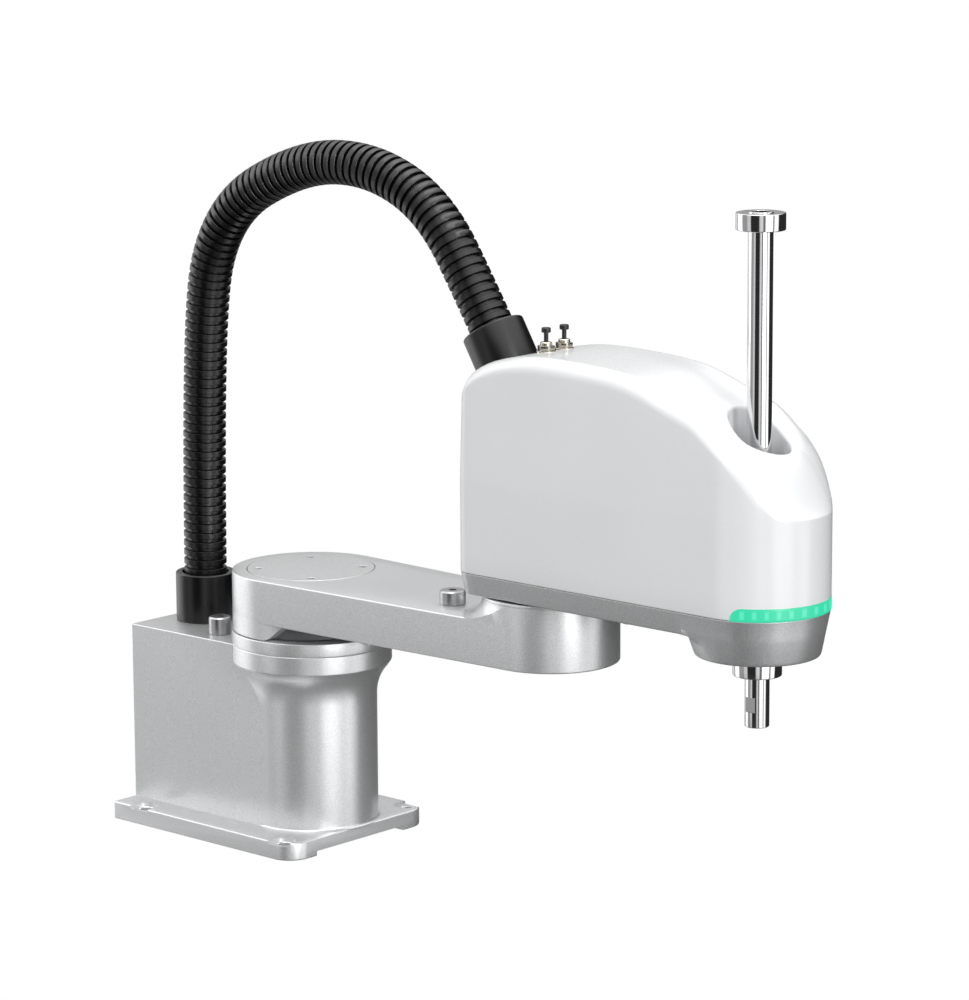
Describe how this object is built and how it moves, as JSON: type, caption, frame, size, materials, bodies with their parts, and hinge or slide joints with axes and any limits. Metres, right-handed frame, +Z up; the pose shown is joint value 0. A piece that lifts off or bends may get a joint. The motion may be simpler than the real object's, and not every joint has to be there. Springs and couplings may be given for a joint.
{
  "type": "scara robot",
  "caption": "Small four-axis SCARA robot arm with a cast base, two swinging arms, a vertical ball-screw spline spindle and a corrugated cable conduit.",
  "frame": {"origin": "centre of the four base bolt holes on the mounting plane", "axes": "+Z up along the joint axes, +X towards the outstretched arm, +Y to the arm's left"},
  "size_m": [0.5928, 0.14, 0.496],
  "materials": {
    "silver_paint": "satin silver lacquer on a casting",
    "ground_chrome": "hard chromed and ground",
    "white_plastic": "glossy moulded plastic",
    "cast_grey": "darker satin silver lacquer on a casting",
    "gear_steel": "ground",
    "bare_plate": "natural anodised",
    "wheel_alloy": "machined",
    "black_metal": "black oxide",
    "black_plastic": "satin",
    "black_rubber": "matt",
    "belt_rubber": "ribbed",
    "hose_plastic": "satin, ribbed",
    "zinc_screw": "turned",
    "nickel": "nickel plated",
    "light_lens": "frosted, lit green",
    "board_green": "solder mask"
  },
  "bodies": {
    "base": {"base_casting": "silver_paint", "base_rear_panel": "bare_plate", "base_power_socket": "black_metal", "base_signal_socket": "black_metal", "base_air_ports": "nickel", "base_panel_screws": "zinc_screw", "j1_bearing_ring": "silver_paint", "base_stop_pins": "zinc_screw", "base_conduit_collar": "black_plastic", "base_bottom_cover": "bare_plate", "j1_motor": "black_metal", "j1_reducer_ring": "gear_steel", "conduit_lower": "hose_plastic"},
    "arm_1": {"arm1_casting": "silver_paint", "hub_cover": "silver_paint", "hub_cover_screws": "zinc_screw", "arm1_stop_pins": "zinc_screw", "j1_stop_block": "silver_paint", "j1_reducer_output": "gear_steel", "arm1_bottom_cover": "silver_paint", "j2_reducer_ring": "gear_steel", "j2_seal_ring": "black_rubber"},
    "arm_2": {"arm2_casting": "cast_grey", "arm2_cover": "white_plastic", "light_strip": "light_lens", "light_board": "board_green", "arm2_conduit_collar": "black_plastic", "air_fittings": "nickel", "air_fitting_plugs": "black_plastic", "cover_screws": "zinc_screw", "j2_stop_block": "cast_grey", "j2_reducer_output": "gear_steel", "j2_motor": "black_metal", "spindle_lower_bearing": "gear_steel", "spindle_bridge": "bare_plate", "z_stop_bumper": "black_rubber", "turn_belt": "belt_rubber", "turn_motor": "black_metal", "turn_motor_bracket": "bare_plate", "lift_belt": "belt_rubber", "lift_motor": "black_metal", "lift_motor_bracket": "bare_plate", "conduit_upper": "hose_plastic"},
    "spline_nut_set": {"spline_nut": "gear_steel", "turn_pulley": "wheel_alloy"},
    "ball_nut_set": {"ball_nut": "gear_steel", "lift_pulley": "wheel_alloy"},
    "turn_rotor": {"turn_motor_shaft": "gear_steel", "turn_motor_pulley": "wheel_alloy"},
    "lift_rotor": {"lift_motor_shaft": "gear_steel", "lift_motor_pulley": "wheel_alloy"},
    "spindle": {"spindle_shaft": "ground_chrome", "upper_stop_collar": "ground_chrome", "lower_stop_collar": "ground_chrome"}
  },
  "joints": [
    {"name": "j1_shoulder", "type": "hinge", "parent": "base", "child": "arm_1", "pos_m": [0.038, 0, 0.15], "axis": [0, 0, 1], "range_deg": [-132, 132], "deforming": ["conduit_lower", "conduit_upper"]},
    {"name": "j2_elbow", "type": "hinge", "parent": "arm_1", "child": "arm_2", "pos_m": [0.263, 0, 0.206], "axis": [0, 0, 1], "range_deg": [-130, 130], "deforming": ["conduit_lower", "conduit_upper"]},
    {"name": "j4_turn", "type": "hinge", "parent": "arm_2", "child": "spline_nut_set", "pos_m": [0.438, 0, 0.232], "axis": [0, 0, 1], "range_deg": [-360, 360]},
    {"name": "j3_lift", "type": "slide", "parent": "spline_nut_set", "child": "spindle", "axis": [0, 0, 1], "range_m": [-0.15, 0]},
    {"name": "z_screw", "type": "hinge", "parent": "spline_nut_set", "child": "ball_nut_set", "pos_m": [0.438, 0, 0.257], "axis": [0, 0, 1], "range_deg": [-2700, 0]},
    {"name": "turn_motor_turn", "type": "hinge", "parent": "arm_2", "child": "turn_rotor", "pos_m": [0.335, 0, 0.232], "axis": [0, 0, 1], "range_deg": [-810, 810]},
    {"name": "lift_motor_turn", "type": "hinge", "parent": "arm_2", "child": "lift_rotor", "pos_m": [0.385, 0, 0.257], "axis": [0, 0, 1], "range_deg": [-6075, 0]}
  ],
  "couplings": [
    {"joint": "z_screw", "follows": "j3_lift", "rad_per_m": 314.16},
    {"joint": "lift_motor_turn", "follows": "j3_lift", "rad_per_m": 706.86},
    {"joint": "turn_motor_turn", "follows": "j4_turn", "ratio": 2.25}
  ]
}
